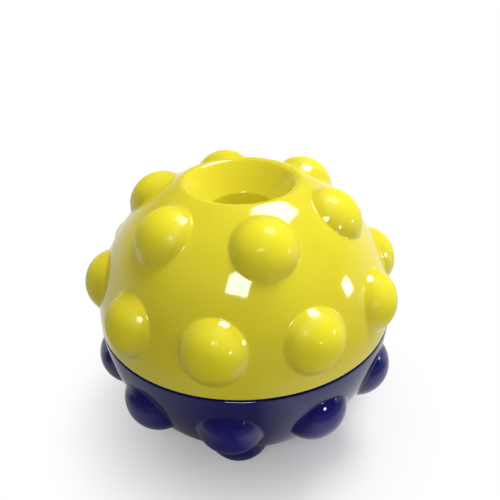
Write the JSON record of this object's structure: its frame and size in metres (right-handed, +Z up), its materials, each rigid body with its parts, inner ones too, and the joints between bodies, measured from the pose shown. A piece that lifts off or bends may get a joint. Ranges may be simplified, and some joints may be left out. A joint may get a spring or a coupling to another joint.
{
  "type": "treat ball",
  "caption": "Round pet treat ball in two bumped half shells that twist apart, with a rolled mouth and a funnel on top, a chute below it and a turning gate that meters the treats.",
  "frame": {"origin": "middle of the flat foot that the ball stands on", "axes": "+Z up through the mouth, -Y towards the viewer in the picture, +X to the right"},
  "size_m": [0.1062, 0.105, 0.0937],
  "materials": {
    "yellow_shell": "gloss moulded",
    "blue_shell": "gloss moulded",
    "seal": "matt soft",
    "chute": "gloss moulded",
    "gate": "satin moulded",
    "rivet": "satin moulded"
  },
  "bodies": {
    "base": {"lower_shell": "blue_shell"},
    "seal": {"seal_ring": "seal"},
    "top": {"upper_shell": "yellow_shell", "chute_sleeve": "chute", "gate_rivet": "rivet"},
    "gate": {"gate_disc": "gate"}
  },
  "joints": [
    {"name": "shell_lift", "type": "slide", "parent": "base", "child": "seal", "axis": [0, 0, 1], "range_m": [0, 0.0057]},
    {"name": "shell_twist", "type": "hinge", "parent": "seal", "child": "top", "pos_m": [0, 0, 0.0475], "axis": [0, 0, 1], "range_deg": [0, 90]},
    {"name": "gate_turn", "type": "hinge", "parent": "top", "child": "gate", "pos_m": [0, 0, 0.063], "axis": [0, 0, 1], "range_deg": [0, 140]}
  ],
  "couplings": [
    {"joint": "shell_lift", "follows": "shell_twist", "m_per_rad": 0.0035651}
  ]
}
